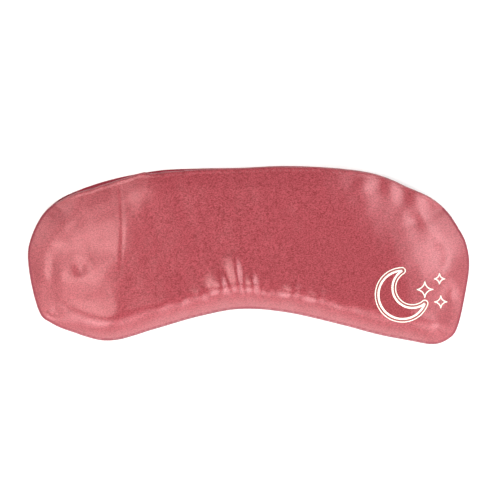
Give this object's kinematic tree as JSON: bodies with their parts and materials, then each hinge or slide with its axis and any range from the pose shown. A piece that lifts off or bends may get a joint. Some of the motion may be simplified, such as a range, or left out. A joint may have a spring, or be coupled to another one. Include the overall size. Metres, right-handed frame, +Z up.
{
  "type": "eye pillow",
  "caption": "Contoured eye pillow: a satin slip cover with an open mouth in its top edge, and a seed-filled cotton pillow that slides out.",
  "frame": {"origin": "centre of the outline's box, on the surface that the back panel lies on", "axes": "+X along the length towards the end with the motif, +Y towards the mouth edge, +Z up out of the front panel"},
  "size_m": [0.24, 0.097, 0.0186],
  "materials": {
    "satin": "smooth satin with a soft sheen",
    "satin_inside": "matt wrong side of the satin",
    "rose_thread": "spun polyester thread",
    "cream_ink": "soft screen-print ink",
    "brown_ink": "soft screen-print ink",
    "cotton": "unbleached plain-weave cotton",
    "white_thread": "cotton thread",
    "seed": "glossy brown flax seed",
    "lavender": "dry flower buds"
  },
  "bodies": {
    "cover": {"front_panel": "satin", "back_panel": "satin", "seam_allowance": "satin_inside", "seam_stitching": "rose_thread", "overlock_thread": "rose_thread", "back_hem": "satin_inside", "back_hem_stitching": "rose_thread", "mouth_tack_left": "rose_thread", "mouth_tack_right": "rose_thread", "motif_lines": "cream_ink", "motif_shadow_line": "brown_ink"},
    "front_lip": {"front_lip": "satin", "front_hem": "satin_inside", "front_hem_stitching": "rose_thread"},
    "inner_pillow": {"bag_top": "cotton", "bag_bottom": "cotton", "bag_seam_stitching": "white_thread", "bag_closing_stitches": "white_thread", "seed_fill": "seed", "lavender_buds": "lavender"}
  },
  "joints": [
    {"name": "front_lip_fold", "type": "hinge", "parent": "cover", "child": "front_lip", "pos_m": [0, 0.033, 0.0187], "axis": [1, 0, 0], "range_deg": [0, 60]},
    {"name": "pillow_slide", "type": "slide", "parent": "cover", "child": "inner_pillow", "axis": [0, 1, 0], "range_m": [0, 0.1]}
  ]
}
